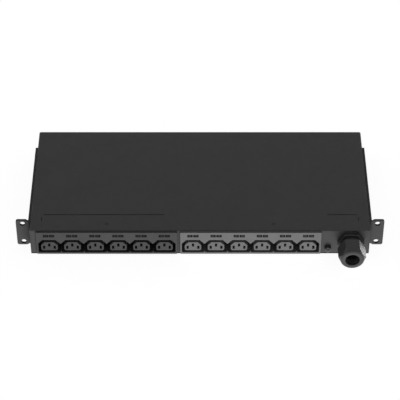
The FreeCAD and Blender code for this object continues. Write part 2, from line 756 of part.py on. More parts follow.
def gland_nut():
    """Hexagonal dome nut with a rounded mouth."""
    flat_r = GLAND_FLATS / 2
    corner_r = GLAND_FLATS / math.sqrt(3)
    mouth_r = NUT_MOUTH_D / 2
    dome_start = nut_end - NUT_DOME_R
    hexagon = hexagon_y(gland_x, gland_z, front - nut_end, front - nut_start, GLAND_FLATS, 0)
    turned = turned_y(gland_x, gland_z, [
        (nut_start, nut_bore_r, 0), (nut_start, corner_r - NUT_BACK_CHAMFER, 0),
        (nut_start + NUT_BACK_CHAMFER, corner_r, 0), (dome_start - NUT_CORNER_CHAMFER, corner_r, 0),
        (dome_start, flat_r, 0), (nut_end, flat_r, NUT_DOME_R), (nut_end, mouth_r, NUT_MOUTH_EDGE_R),
        (mouth_start, mouth_r, 0), (mouth_start, nut_bore_r, 0)])
    return hexagon.common(turned)


def gland_locknut():
    """Thin hexagonal nut inside the panel."""
    nut = hexagon_y(gland_x, gland_z, front + SHEET, front + SHEET + LOCKNUT_T, LOCKNUT_FLATS, 0)
    hole = GLAND_SHANK_D / 2 + THREAD_FIT
    return nut.cut(rod_y(gland_x, gland_z, front + SHEET, front + SHEET + LOCKNUT_T, hole))


stud_ahead = STUD_WASHER_T + TOOTHED_WASHER_T + STUD_NUT_T + STUD_TIP
stud_inside = SHEET + LUG_T + STUD_NUT_T + STUD_TIP


def earth_stud():
    """Threaded stud through the panel."""
    stud = rod_y(stud_x, stud_z, front - stud_ahead, front + stud_inside, STUD_D / 2)
    return stud.makeChamfer(STUD_CHAMFER, [e for e in stud.Edges if e.Closed])


def earth_washer():
    """Plain washer against the panel."""
    return ring_y(stud_x, stud_z, 0, STUD_WASHER_T, STUD_WASHER_D, STUD_D + 2 * THREAD_FIT)


def earth_toothed_washer():
    """Lock washer with teeth round its rim."""
    start = STUD_WASHER_T
    end = start + TOOTHED_WASHER_T
    washer = ring_y(stud_x, stud_z, start, end, TOOTHED_WASHER_D, STUD_D + 2 * THREAD_FIT)
    rim = TOOTHED_WASHER_D / 2
    gap = math.pi * TOOTHED_WASHER_D / WASHER_TEETH / 2
    notch = block(stud_x - gap / 2, stud_x + gap / 2, front - end, front - start,
                  stud_z + rim - TOOTH_DEPTH, stud_z + rim)
    notches = []
    for i in range(WASHER_TEETH):
        turned = notch.copy()
        turned.rotate(V(stud_x, 0, stud_z), V(0, 1, 0), 360 * i / WASHER_TEETH)
        notches.append(turned)
    return washer.cut(notches)


def stud_nut(y0):
    """Hexagonal nut on the earth stud, corner up, with its corners taken off at both ends."""
    corner_r = STUD_NUT_FLATS / math.sqrt(3)
    bevel = corner_r - STUD_NUT_FLATS / 2
    start = front - y0 - STUD_NUT_T
    end = front - y0
    hexagon = hexagon_y(stud_x, stud_z, y0, y0 + STUD_NUT_T, STUD_NUT_FLATS, 90)
    softened = turned_y(stud_x, stud_z, [
        (start, 0, 0), (start, corner_r - bevel, 0),
        (start + bevel / 2, corner_r, 0), (end - bevel / 2, corner_r, 0),
        (end, corner_r - bevel, 0), (end, 0, 0)])
    hole = rod_y(stud_x, stud_z, y0, y0 + STUD_NUT_T, STUD_D / 2 + THREAD_FIT)
    return hexagon.common(softened).cut(hole)


def earth_nut():
    """Nut on the outside of the panel."""
    return stud_nut(front - STUD_WASHER_T - TOOTHED_WASHER_T - STUD_NUT_T)


def earth_inner_nut():
    """Nut that clamps the lead's lug inside the panel."""
    return stud_nut(front + SHEET + LUG_T)


def lane(pole):
    """Y of a lead where it enters the terminal block."""
    return first_lane + pole * POLE_PITCH


poles = 1 + 3 * len(bank_lefts)
block_front = lane(0) - POLE_PITCH / 2
block_back = lane(poles - 1) + POLE_PITCH / 2


def block_peg_places():
    """Y of the two pegs under the terminal block."""
    return (block_front + POLE_PITCH, block_back - POLE_PITCH)


def pole_screw_xs():
    """X of the two clamping screws of each pole."""
    middle = (block_left + block_right) / 2
    return (middle - POLE_SCREW_SPACING / 2, middle + POLE_SCREW_SPACING / 2)


def terminal_block():
    """Moulded terminal block, stepped along both sides, with pegs in the floor."""
    top = entry_z + BLOCK_ABOVE_ENTRY
    shoulder = entry_z + SLEEVE_D / 2 + BLOCK_WALL
    outline = [(block_left, floor_top, 0), (block_right, floor_top, 0), (block_right, shoulder, 0),
               (block_right - BLOCK_BEVEL, top, 0), (block_left + BLOCK_BEVEL, top, 0),
               (block_left, shoulder, 0)]
    body = prism(outline, at_xz(block_front), V(0, block_back - block_front, 0))
    pegs = [rod_z((block_left + block_right) / 2, y, body_bottom + SEAM, floor_top, BLOCK_PEG_D / 2)
            for y in block_peg_places()]
    cuts = []
    for pole in range(poles):
        start = V(block_left, lane(pole), entry_z)
        cuts.append(Part.makeCylinder(SLEEVE_D / 2, BLOCK_WIDTH, start, V(1, 0, 0)))
        for x in pole_screw_xs():
            cuts.append(rod_z(x, lane(pole), entry_z, top, POLE_SCREW_HEAD_D / 2 + THREAD_FIT))
    return united([body] + pegs).cut(cuts)


def terminal_sleeves():
    """Brass sleeve of each pole."""
    sleeves = []
    length = BLOCK_WIDTH - 2 * SLEEVE_INSET
    for pole in range(poles):
        start = V(block_left + SLEEVE_INSET, lane(pole), entry_z)
        sleeve = Part.makeCylinder(SLEEVE_D / 2, length, start, V(1, 0, 0))
        bore = Part.makeCylinder(LEAD_D / 2 + THREAD_FIT, length, start, V(1, 0, 0))
        holes = [rod_z(x, lane(pole), entry_z, entry_z + SLEEVE_D, POLE_SCREW_D / 2 + THREAD_FIT)
                 for x in pole_screw_xs()]
        sleeves.append(sleeve.cut([bore] + holes))
    return Part.makeCompound(sleeves)


def terminal_screws():
    """Two slotted clamping screws for each pole."""
    screws = []
    tip = entry_z + LEAD_D / 2 + THREAD_FIT
    seat = entry_z + SLEEVE_D / 2 + THREAD_FIT
    top = seat + POLE_SCREW_HEAD_H
    for pole in range(poles):
        y = lane(pole)
        for x in pole_screw_xs():
            shank = rod_z(x, y, tip, seat, POLE_SCREW_D / 2)
            head = rod_z(x, y, seat, top, POLE_SCREW_HEAD_D / 2)
            slot = block(x - POLE_SCREW_HEAD_D / 2, x + POLE_SCREW_HEAD_D / 2,
                         y - POLE_SCREW_SLOT / 2, y + POLE_SCREW_SLOT / 2, top - POLE_SCREW_SLOT_DEPTH, top)
            screws.append(united([shank, head]).cut(slot))
    return Part.makeCompound(screws)


def lead(points):
    """Round wire along straight runs joined by arcs."""
    edges = []
    last = points[0]
    for before, here, after in zip(points, points[1:], points[2:]):
        to_last = (before - here).normalize()
        to_next = (after - here).normalize()
        half_angle = to_last.getAngle(to_next) / 2
        reach = LEAD_BEND_R / math.tan(half_angle)
        middle = (to_last + to_next).normalize()
        tip = here + middle * (LEAD_BEND_R / math.sin(half_angle) - LEAD_BEND_R)
        start = here + to_last * reach
        end = here + to_next * reach
        edges.append(Part.makeLine(last, start))
        edges.append(Part.Arc(start, tip, end).toShape())
        last = end
    edges.append(Part.makeLine(last, points[-1]))
    section = Part.Wire(Part.makeCircle(LEAD_D / 2, points[0], points[1] - points[0]))
    return Part.Wire(edges).makePipeShell([section], True, False)


def bank_lead(left, pole, number):
    """Lead from a bank's tab to the terminal block, with a boot over the tab."""
    depth, z, x = bus_layout(left)[pole]
    y = lane(number)
    inside = block_left + ENTRY_DEPTH
    level = block_left - 2 * LEAD_BEND_R
    wire = lead([V(x, boot_end, z), V(x, y, z), V(level, y, entry_z), V(inside, y, entry_z)])
    boot = rod_y(x, z, boot_start, boot_end, BOOT_D / 2)
    w = BUS_SHEET / 2 + THREAD_FIT
    h = BUS_BAND / 2 + THREAD_FIT
    slot = block(x - w, x + w, boot_start, tab_end + THREAD_FIT, z - h, z + h)
    return united([boot.cut(slot), wire])


def stud_lead():
    """Lead from the earth stud to the terminal block, with a ring lug on the stud."""
    lug = ring_y(stud_x, stud_z, -SHEET - LUG_T, -SHEET, LUG_D, STUD_D + 2 * THREAD_FIT)
    lug_y = front + SHEET
    tongue = block(stud_x + STUD_D / 2 + LUG_CLEARANCE, lug_wire_x + LEAD_D / 2, lug_y, lug_y + LUG_T,
                   entry_z - LEAD_D / 2, entry_z + LEAD_D / 2)
    wire = lead([V(lug_wire_x, lug_y + LUG_T, entry_z), V(lug_wire_x, lane(0), entry_z),
                 V(block_left + ENTRY_DEPTH, lane(0), entry_z)])
    return united([lug, tongue, wire])


def leads(pole):
    """All leads of one pole, the earth stud's among the earths."""
    order = ("neutral", "earth", "line")
    wires = []
    for bank, left in enumerate(reversed(bank_lefts)):
        wires.append(bank_lead(left, pole, 1 + 3 * bank + order.index(pole)))
    if pole == "earth":
        wires.append(stud_lead())
    return Part.makeCompound(wires)


nodes = {
    "chassis_tray": chassis_tray(),
    "front_panel": front_panel(),
    "top_cover": top_cover(),
    "seam_strip": seam_strip(),
    "flange_rivets": Part.makeCompound([rivet(x, 0) for x in rivet_places()]),
    "rack_ear_left": rack_ear(-1),
    "rack_ear_right": rack_ear(1),
    "side_screws": side_screws(),
    "lip_screws": lip_screws(),
    "gland_gasket": gland_gasket(),
    "gland_body": gland_body(),
    "gland_seal": gland_seal(),
    "gland_nut": gland_nut(),
    "gland_locknut": gland_locknut(),
    "earth_stud": earth_stud(),
    "earth_washer": earth_washer(),
    "earth_toothed_washer": earth_toothed_washer(),
    "earth_nut": earth_nut(),
    "earth_inner_nut": earth_inner_nut(),
    "terminal_block": terminal_block(),
    "terminal_sleeves": terminal_sleeves(),
    "terminal_screws": terminal_screws(),
}
for pole in ("line", "neutral", "earth"):
    nodes[pole + "_leads"] = leads(pole)
for name, left in zip(("left", "right"), bank_lefts):
    nodes["outlet_housing_" + name] = outlet_housing(left)
    nodes["contact_carrier_" + name] = contact_carrier(left)
    nodes["back_shell_" + name] = back_shell(left)
    for pole in ("line", "neutral", "earth"):
        nodes[pole + "_bus_" + name] = bus(left, pole)

os.makedirs("parts", exist_ok=True)
for name, shape in nodes.items():
    shape.exportStep("parts/" + name + ".step")
    print(name, len(shape.Solids), "solids, valid", shape.isValid(), round(shape.Volume / 1000, 2), "cm3")
print("body", round(body_width, 2), "wide; over the ears", round(body_width + 2 * EAR_WIDTH, 2))
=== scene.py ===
# %% [markdown]
# # A rack power distribution unit, dressed step by step
# The solids of the part are already packed as a frame: sheet-metal case, rack ears, two outlet
# banks, cable gland, earth stud and the wiring inside. Blender adds what the eye reads first, the
# finish of each surface, and three details that the solids leave to it: the full rim of the dome
# nut, the thread of the earth stud and the printed numbers. We load the frame and keep its box, so
# that we can show at the end that nothing has grown.

# %% Load the frame
import json
import math
import bpy
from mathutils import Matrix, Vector


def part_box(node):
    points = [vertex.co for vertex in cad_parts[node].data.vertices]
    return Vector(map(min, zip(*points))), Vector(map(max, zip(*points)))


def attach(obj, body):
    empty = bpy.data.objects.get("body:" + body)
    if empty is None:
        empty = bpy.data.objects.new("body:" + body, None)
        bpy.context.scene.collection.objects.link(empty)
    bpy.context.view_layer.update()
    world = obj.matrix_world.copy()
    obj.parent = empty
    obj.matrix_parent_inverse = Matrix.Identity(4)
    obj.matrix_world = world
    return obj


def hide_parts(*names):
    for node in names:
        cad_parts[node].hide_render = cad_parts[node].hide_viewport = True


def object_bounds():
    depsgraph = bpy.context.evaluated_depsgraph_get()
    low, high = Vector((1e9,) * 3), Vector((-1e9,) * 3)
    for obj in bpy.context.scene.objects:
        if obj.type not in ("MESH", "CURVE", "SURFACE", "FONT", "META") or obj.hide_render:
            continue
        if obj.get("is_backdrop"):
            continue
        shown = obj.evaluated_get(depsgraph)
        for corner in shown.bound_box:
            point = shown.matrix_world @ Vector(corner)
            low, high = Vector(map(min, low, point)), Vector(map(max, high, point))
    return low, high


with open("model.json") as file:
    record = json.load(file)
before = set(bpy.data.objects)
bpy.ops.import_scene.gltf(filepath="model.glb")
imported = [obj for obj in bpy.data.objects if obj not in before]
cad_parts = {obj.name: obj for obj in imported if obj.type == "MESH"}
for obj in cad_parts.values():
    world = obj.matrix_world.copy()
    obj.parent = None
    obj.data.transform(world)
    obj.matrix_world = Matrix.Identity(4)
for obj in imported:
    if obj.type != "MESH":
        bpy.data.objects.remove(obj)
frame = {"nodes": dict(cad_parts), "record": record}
cad_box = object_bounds()
MM = 0.001
cad_size = cad_box[1] - cad_box[0]
print("nodes:", len(frame["nodes"]), "box:", [round(x / MM, 1) for x in cad_size], "mm")

# %% [markdown]
# ## The camera
# A product picture of a flat case is taken from in front and well above, with a long lens, so that
# the case hardly tapers. The camera could be given by its place and its turn. It is easier to read
# as a point to look at, a distance and an angle above the horizon, so we work its place out.

# %% Camera
LOOK_AT = Vector((0.0, 60.4, -0.45)) * MM
CAMERA_DISTANCE = 2.33
CAMERA_ELEVATION = math.radians(42.87)
LENS = 156.2
SENSOR = 36.0

back = Vector((0.0, -math.cos(CAMERA_ELEVATION), math.sin(CAMERA_ELEVATION)))
bpy.ops.object.camera_add(
    location=LOOK_AT + back * CAMERA_DISTANCE,
    rotation=(math.pi / 2 - CAMERA_ELEVATION, 0.0, 0.0))
camera = bpy.context.object
camera.name = "camera"
camera.data.lens = LENS
camera.data.sensor_width = SENSOR
camera.data.sensor_fit = "HORIZONTAL"
bpy.context.scene.camera = camera
bpy.context.scene.view_settings.view_transform = "Standard"
print("camera at", [round(x, 3) for x in camera.location])

# %% [markdown]
# ## Floor and background
# The case stands on a plain pale floor. A white background could be had by flooding the floor with
# lamps, but that would bleach the black paint too. Instead the floor and the world are white to
# rays that come from the camera, or that reach them by a reflection or through glass, and dimmer to
# all other rays. A Light Path node tells the two kinds apart.

# %% Two strengths for one light


def grey(value):
    """Neutral colour."""
    return (value, value, value, 1.0)


def seen_directly(tree):
    """A factor that is 1 for rays from the camera, from a reflection or through glass."""
    path = tree.nodes.new("ShaderNodeLightPath")
    total = path.outputs["Is Camera Ray"]
    for name in ("Is Glossy Ray", "Is Transmission Ray"):
        larger = tree.nodes.new("ShaderNodeMath")
        larger.operation = "MAXIMUM"
        tree.links.new(total, larger.inputs[0])
        tree.links.new(path.outputs[name], larger.inputs[1])
        total = larger.outputs[0]
    return total


def two_strengths(tree, light, as_lamp, to_the_eye):
    """Give a light one strength for what it lights and another for what is seen of it."""
    strength = tree.nodes.new("ShaderNodeMapRange")
    strength.inputs["To Min"].default_value = as_lamp
    strength.inputs["To Max"].default_value = to_the_eye
    tree.links.new(seen_directly(tree), strength.inputs["Value"])
    tree.links.new(strength.outputs["Result"], light.inputs["Strength"])


print("a light can have one strength as a lamp and another to the eye")

# %% [markdown]
# The floor is the sheet of a light table, the way small products are often shot: lamps below it
# shine through, so the sheet casts no shadow itself. A plain emitter would do for the white, but
# with a diffuse layer added the sheet still takes the soft shadow that the case throws in the light
# of the room.

# %% Floor
FLOOR_SIZE = 12.0
FLOOR_COLOUR = 0.8
FLOOR_GLOW = 0.88
TABLE_LIGHT = 0.4


def floor_finish():
    """Pale diffuse sheet, white to the eye, with a faint glow."""
    material = bpy.data.materials.new("studio_floor")
    material.use_nodes = True
    tree = material.node_tree
    tree.nodes.clear()
    diffuse = tree.nodes.new("ShaderNodeBsdfDiffuse")
    diffuse.inputs["Color"].default_value = grey(FLOOR_COLOUR)
    glow = tree.nodes.new("ShaderNodeEmission")
    two_strengths(tree, glow, TABLE_LIGHT, FLOOR_GLOW)
    both = tree.nodes.new("ShaderNodeAddShader")
    tree.links.new(diffuse.outputs[0], both.inputs[0])
    tree.links.new(glow.outputs[0], both.inputs[1])
    out = tree.nodes.new("ShaderNodeOutputMaterial")
    tree.links.new(both.outputs[0], out.inputs["Surface"])
    return material


bpy.ops.object.select_all(action="DESELECT")
bpy.ops.mesh.primitive_plane_add(size=FLOOR_SIZE, location=(0.0, 0.0, cad_box[0].z))
floor = bpy.context.object
floor.name = "floor"
floor.data.materials.append(floor_finish())
floor.visible_shadow = False
floor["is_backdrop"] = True
print("floor at", round(cad_box[0].z / MM, 2), "mm")

# %% [markdown]
# The world is the room round the table. It could carry a picture of a studio, but an even dim grey
# is enough: it opens the deepest shadows, and the lamps do the rest.

# %% World
WORLD_LIGHT = 0.155
WORLD_WHITE = 1.0

world = bpy.data.worlds.new("studio")
world.use_nodes = True
background = world.node_tree.nodes["Background"]
background.inputs["Color"].default_value = grey(1.0)
two_strengths(world.node_tree, background, WORLD_LIGHT, WORLD_WHITE)
bpy.context.scene.world = world
print("world:", WORLD_LIGHT, "as a lamp,", WORLD_WHITE, "to the eye")

# %% [markdown]
# ## Light
# On the real case the upright faces are lighter than the top, and every shadow climbs the panel. So
# the main light comes from in front and from below, through the table. One lamp overhead would turn
# all that round. The lamps are large soft panels. Each is set by the point that it shines at and by
# two angles round that point, because those are what one would change on a real set.

# %% A soft panel
LAMP_RING = 1.7
PANEL_WIDTH = 1.2


def soft_panel(name, aim, azimuth, elevation, power, height):
    """Rectangular lamp on a sphere round the point that it shines at."""
    turn, tilt = math.radians(azimuth), math.radians(elevation)
    towards = Vector((
        math.sin(turn) * math.cos(tilt), -math.cos(turn) * math.cos(tilt), math.sin(tilt)))
    bpy.ops.object.light_add(type="AREA", location=aim + towards * LAMP_RING)
    lamp = bpy.context.object
    lamp.name = name
    lamp.rotation_euler = towards.to_track_quat("Z", "Y").to_euler()
    lamp.data.shape = "RECTANGLE"
    lamp.data.size = PANEL_WIDTH
    lamp.data.size_y = height
    lamp.data.energy = power
    return lamp


print("panels are", PANEL_WIDTH, "m wide and", LAMP_RING, "m away")

# %% [markdown]
# Three panels do the work. The first is in front, a little to the right, and the second does the
# same for the back. Their glare is taken off, as a polarising sheet does, because a black coat
# would mirror them. The third stands behind the right end and puts a bright edge on the gland's
# nut. Further down, once the nut is there, a flag keeps it off the rest.

# %% Three lamps
TALL_PANEL = 1.3
SQUARE_PANEL = 1.2
TABLE_TILT = -32
FRONT_TURN = 10
FRONT_LIGHT = 28.5
FRONT_AIM = Vector((0.0, -20.0, 0.0)) * MM
REAR_TURN = 190
REAR_LIGHT = 24.0
REAR_AIM = Vector((0.0, 170.0, 0.0)) * MM
EDGE_TURN = 133
EDGE_TILT = -22
EDGE_LIGHT = 85.0
EDGE_AIM = Vector((200.0, 0.0, 0.0)) * MM

lamp_front = soft_panel(
    "lamp_front", FRONT_AIM, FRONT_TURN, TABLE_TILT, FRONT_LIGHT, TALL_PANEL)
lamp_rear = soft_panel("lamp_rear", REAR_AIM, REAR_TURN, TABLE_TILT, REAR_LIGHT, TALL_PANEL)
lamp_edge = soft_panel("lamp_edge", EDGE_AIM, EDGE_TURN, EDGE_TILT, EDGE_LIGHT, SQUARE_PANEL)
lamp_front.visible_glossy = False
lamp_rear.visible_glossy = False
print("lamps:", lamp_front.name, lamp_rear.name, lamp_edge.name)

# %% [markdown]
# ## Building blocks for finishes
# Every finish here is a Principled shader with a few procedural layers on top. Values that are the
# same all over a surface are set on the shader itself. What changes from place to place comes from
# noise. A picture of a surface would be quicker, but it would need unwrapped faces and would blur
# close up. Noise on Object coordinates follows the part at its true scale, so grain of a fraction
# of a millimetre stays that size on a screw and on the cover.

# %% Shader and noise


def start_finish(name, colour, roughness, specular, metallic=0.0):
    """New material, with its node tree and its one Principled shader."""
    material = bpy.data.materials.new(name)
    material.use_nodes = True
    tree = material.node_tree
    shader = tree.nodes["Principled BSDF"]
    shader.inputs["Base Color"].default_value = colour
    shader.inputs["Roughness"].default_value = roughness
    shader.inputs["Specular IOR Level"].default_value = specular
    shader.inputs["Metallic"].default_value = metallic
    return material, tree, shader


def noise(tree, size, detail, stretch=(1.0, 1.0, 1.0)):
    """Noise whose features are about one size across, in metres."""
    place = tree.nodes.new("ShaderNodeTexCoord")
    mapping = tree.nodes.new("ShaderNodeMapping")
    mapping.inputs["Scale"].default_value = stretch
    texture = tree.nodes.new("ShaderNodeTexNoise")
    texture.inputs["Scale"].default_value = 1.0 / size
    texture.inputs["Detail"].default_value = detail
    tree.links.new(place.outputs["Object"], mapping.inputs["Vector"])
    tree.links.new(mapping.outputs["Vector"], texture.inputs["Vector"])
    return texture.outputs["Fac"]


print("shader and noise ready")

# %% [markdown]
# A noise can drive the tone of a surface, its gloss or a relief. Most of a noise lies between about
# 0.3 and 0.7, so that is the span that the tones and the gloss are spread over. Spread over 0 to 1,
# the two ends would hardly ever be reached.

# %% Layers of tone, gloss and relief
NOISE_LOW = 0.3
NOISE_HIGH = 0.7


def tones(tone, drift):
    """Two greys, a share below and above a tone."""
    return grey(tone * (1 - drift)), grey(tone * (1 + drift))


def spread_colour(tree, shader, factor, low, high):
    """Colour that drifts between two tones."""
    ramp = tree.nodes.new("ShaderNodeValToRGB")
    ramp.color_ramp.elements[0].position = NOISE_LOW
    ramp.color_ramp.elements[1].position = NOISE_HIGH
    ramp.color_ramp.elements[0].color = low
    ramp.color_ramp.elements[1].color = high
    tree.links.new(factor, ramp.inputs["Fac"])
    tree.links.new(ramp.outputs["Color"], shader.inputs["Base Color"])


def spread_gloss(tree, shader, factor, low, high):
    """Roughness that drifts between two values."""
    span = tree.nodes.new("ShaderNodeMapRange")
    span.inputs["From Min"].default_value = NOISE_LOW
    span.inputs["From Max"].default_value = NOISE_HIGH
    span.inputs["To Min"].default_value = low
    span.inputs["To Max"].default_value = high
    tree.links.new(factor, span.inputs["Value"])
    tree.links.new(span.outputs["Result"], shader.inputs["Roughness"])


def grain(tree, shader, factor, depth, strength):
    """Relief of a given depth, in metres."""
    bump = tree.nodes.new("ShaderNodeBump")
    bump.inputs["Distance"].default_value = depth
    bump.inputs["Strength"].default_value = strength
    tree.links.new(factor, bump.inputs["Height"])
    tree.links.new(bump.outputs["Normal"], shader.inputs["Normal"])


print("tone and gloss are spread over noise from", NOISE_LOW, "to", NOISE_HIGH)

# %% [markdown]
# ## Powder coat on the sheet metal
# The case is steel under a black powder coat, baked to a fine orange peel. Close up it is a matt
# skin with lumps of about half a millimetre. A flat black would look like paper, so the coat gets
# that relief, a slight drift of tone across the panel and a slight drift of gloss.

# %% Powder coat
PAINT_TONE = 0.065


def powder_coat(name, tone, specular=0.25):
    """Black baked powder with a fine texture."""
    material, tree, shader = start_finish(name, grey(tone), roughness=0.5, specular=specular)
    cloud = noise(tree, size=60 * MM, detail=3.0)
    spread_colour(tree, shader, cloud, *tones(tone, drift=0.04))
    spread_gloss(tree, shader, noise(tree, size=9 * MM, detail=2.0), low=0.46, high=0.56)
    lumps = noise(tree, size=0.55 * MM, detail=2.0)
    grain(tree, shader, lumps, depth=0.03 * MM, strength=0.5)
    return material


finishes = {"painted_steel": powder_coat("powder_coat", PAINT_TONE)}
# Painted shade: the strip under the seam is near black, so the slots over it read dark.
seam_shade_paint = powder_coat("powder_coat_seam_shade", tone=0.008, specular=0.03)
# Painted shade: the coat on the flush rivets is darker than round them, as shade.
rivet_shade_paint = powder_coat("powder_coat_rivets_shade", tone=0.046, specular=0.17)
print("powder coat on", list(finishes))

# %% [markdown]
# ## Painted shade in the rack holes of the ears
# The four rack holes are punched through the ears. Their walls, and a thin ring round each hole on
# the face, are painted near black, as painted shade of the holes. The walls could be picked face by
# face, but a CAD mesh is not ours to sort. The finish can find them by itself: the holes lie the
# same distance left and right of the middle and above and below it, so the distance to the nearest
# hole's axis follows from the size of X and of Z alone. The record of the part gives the spacing of
# the holes and their radius.

# %% Places of the rack holes
# Painted shade: the dark of the holes reaches this far past their rims onto the face.
HOLE_SHADE_EDGE = 0.2 * MM

mounts = {mount["name"]: mount for mount in frame["record"]["mounts"]}
rack_holes = mounts["rack_holes"]["dims"]
hole_x = rack_holes["spacing_x_mm"] / 2 * MM
hole_z = rack_holes["spacing_y_mm"] / 2 * MM
hole_shade_reach = rack_holes["hole_r_mm"] * MM + HOLE_SHADE_EDGE
print("hole walls within", round(hole_shade_reach / MM, 2), "mm of their axes")

# %% [markdown]
# Math nodes work the distance out, by the rule of the right-angled triangle. Where it is short, a
# Mix node swaps the coat's colour for a near black, the painted shade of the hole.

# %% Ear paint with painted shade in the holes
EAR_TONE = 0.075
EAR_SPECULAR = 0.1
# Painted shade: near black on the hole walls and on a thin ring round each hole.
HOLE_SHADE_TONE = 0.004


def maths(tree, operation, first, second=None):
    """One Math node, from a link and a number or another link."""
    node = tree.nodes.new("ShaderNodeMath")
    node.operation = operation
    tree.links.new(first, node.inputs[0])
    if isinstance(second, float):
        node.inputs[1].default_value = second
    elif second is not None:
        tree.links.new(second, node.inputs[1])
    return node.outputs[0]


def hole_shaded_coat(name, tone, specular):
    """Powder coat with painted shade, near black, on the walls of the rack holes."""
    material = powder_coat(name, tone, specular)
    tree = material.node_tree
    shader = tree.nodes["Principled BSDF"]
    coat = shader.inputs["Base Color"].links[0].from_socket
    place = tree.nodes.new("ShaderNodeTexCoord")
    split = tree.nodes.new("ShaderNodeSeparateXYZ")
    tree.links.new(place.outputs["Object"], split.inputs[0])
    squares = []
    for axis, hole in (("X", hole_x), ("Z", hole_z)):
        offset = maths(tree, "SUBTRACT", maths(tree, "ABSOLUTE", split.outputs[axis]), hole)
        squares.append(maths(tree, "MULTIPLY", offset, offset))
    reach = maths(tree, "SQRT", maths(tree, "ADD", squares[0], squares[1]))
    in_hole = maths(tree, "LESS_THAN", reach, hole_shade_reach)
    mix = tree.nodes.new("ShaderNodeMix")
    mix.data_type = "RGBA"
    tree.links.new(in_hole, mix.inputs["Factor"])
    tree.links.new(coat, mix.inputs["A"])
    # Painted shade: near black wherever a point is close to a hole's axis.
    mix.inputs["B"].default_value = grey(HOLE_SHADE_TONE)
    tree.links.new(mix.outputs["Result"], shader.inputs["Base Color"])
    return material


finishes["ear_paint"] = hole_shaded_coat("powder_coat_ears_hole_shade", EAR_TONE, EAR_SPECULAR)
print("ear paint has", len(finishes["ear_paint"].node_tree.nodes), "shader nodes")

# %% [markdown]
# ## Moulded plastic
# The outlet banks are moulded in a tool whose walls were roughened with sparks, which leaves a fine
# even pitting. The left bank is charcoal and the right bank is a mid grey, so that the two supplies
# can be told apart. Two materials built by hand could drift apart in their grain, so one function
# makes both, with the tone as its only difference.

# %% Outlet banks


def spark_moulding(name, tone):
    """Outlet bank: even pitting, a faint flow of tone."""
    material, tree, shader = start_finish(name, grey(tone), roughness=0.45, specular=0.05)
    flow = noise(tree, size=14 * MM, detail=2.0)
    spread_colour(tree, shader, flow, *tones(tone, drift=0.04))
    spread_gloss(tree, shader, noise(tree, size=4 * MM, detail=1.0), low=0.42, high=0.5)
    pits = noise(tree, size=0.3 * MM, detail=1.0)
    grain(tree, shader, pits, depth=0.02 * MM, strength=0.4)
    return material


finishes["dark_moulding"] = spark_moulding("charcoal_moulding", tone=0.080)
finishes["grey_moulding"] = spark_moulding("grey_moulding", tone=0.176)
print("outlet banks:", finishes["dark_moulding"].name, finishes["grey_moulding"].name)

# %% [markdown]
# The shells behind the banks and the terminal block sit inside the case. Their walls are smooth and
# show soft marks where the melt flowed. One tone would do for what is seldom seen, but a noise
# drawn out along Y gives those marks at little cost.

# %% Shells and terminal block


def plain_moulding(name, colour, roughness):
    """Inner moulding: smooth walls with soft flow marks."""
    material, tree, shader = start_finish(name, colour, roughness, specular=0.4)
    darker = tuple(c * 0.92 for c in colour[:3]) + (1.0,)
    flow = noise(tree, size=7 * MM, detail=2.0, stretch=(1.0, 0.3, 1.0))
    spread_colour(tree, shader, flow, darker, colour)
    waves = noise(tree, size=1.5 * MM, detail=1.0)
    grain(tree, shader, waves, depth=0.02 * MM, strength=0.3)
    return material


finishes["shell_moulding"] = plain_moulding("shell_moulding", grey(0.02), roughness=0.5)
finishes["block_moulding"] = plain_moulding(
    "block_moulding", (0.72, 0.70, 0.62, 1.0), roughness=0.45)
print("inner mouldings:", finishes["shell_moulding"].name, finishes["block_moulding"].name)

# %% [markdown]
# The gland is black nylon. Its nuts come from a polished tool and are glossy, and its body is matt.
# A clear coat could give the gloss, but nylon has none, so the same shader is only made smoother.

# %% Gland


def gland_nylon(name, tone, roughness, specular):
    """Gland: black with faint flow marks along the axis."""
    material, tree, shader = start_finish(name, grey(tone), roughness, specular)
    flow = noise(tree, size=6 * MM, detail=2.0, stretch=(1.0, 0.25, 1.0))
    spread_colour(tree, shader, flow, *tones(tone, drift=0.1))
    sheen = noise(tree, size=3 * MM, detail=2.0)
    spread_gloss(tree, shader, sheen, low=roughness * 0.9, high=roughness * 1.1)
    waves = noise(tree, size=1.2 * MM, detail=1.0)
    grain(tree, shader, waves, depth=0.01 * MM, strength=0.1)
    return material


finishes["gland_plastic"] = gland_nylon("gland_nylon", tone=0.07, roughness=0.2, specular=0.21)
gland_matt = gland_nylon("gland_nylon_matt", tone=0.06, roughness=0.45, specular=0.14)
print("gland:", finishes["gland_plastic"].name, gland_matt.name)

# %% [markdown]
# ## Rubber and plated steel
# The gasket and the sleeve of the gland are rubber, matt with a dusty bloom. The screws and the
# earth stud are steel with a black zinc plating, which keeps a dull metal glint and fine marks. A
# full metal would mirror the white room, so the plating is metallic only in part.

# %% Rubber and black zinc


def matt_rubber(name, tone):
    """Rubber with a light bloom."""
    material, tree, shader = start_finish(name, grey(tone), roughness=0.75, specular=0.25)
    bloom = noise(tree, size=3 * MM, detail=3.0)
    spread_colour(tree, shader, bloom, grey(tone * 0.8), grey(tone * 1.5))
    skin = noise(tree, size=0.4 * MM, detail=2.0)
    grain(tree, shader, skin, depth=0.02 * MM, strength=0.5)
    return material


def black_zinc(name, tone):
    """Dark plated steel with fine marks."""
    material, tree, shader = start_finish(
        name, grey(tone), roughness=0.42, specular=0.5, metallic=0.3)
    cloud = noise(tree, size=1.5 * MM, detail=3.0)
    spread_colour(tree, shader, cloud, *tones(tone, drift=0.2))
    spread_gloss(tree, shader, noise(tree, size=0.8 * MM, detail=3.0), low=0.36, high=0.52)
    marks = noise(tree, size=0.3 * MM, detail=2.0)
    grain(tree, shader, marks, depth=0.008 * MM, strength=0.5)
    return material


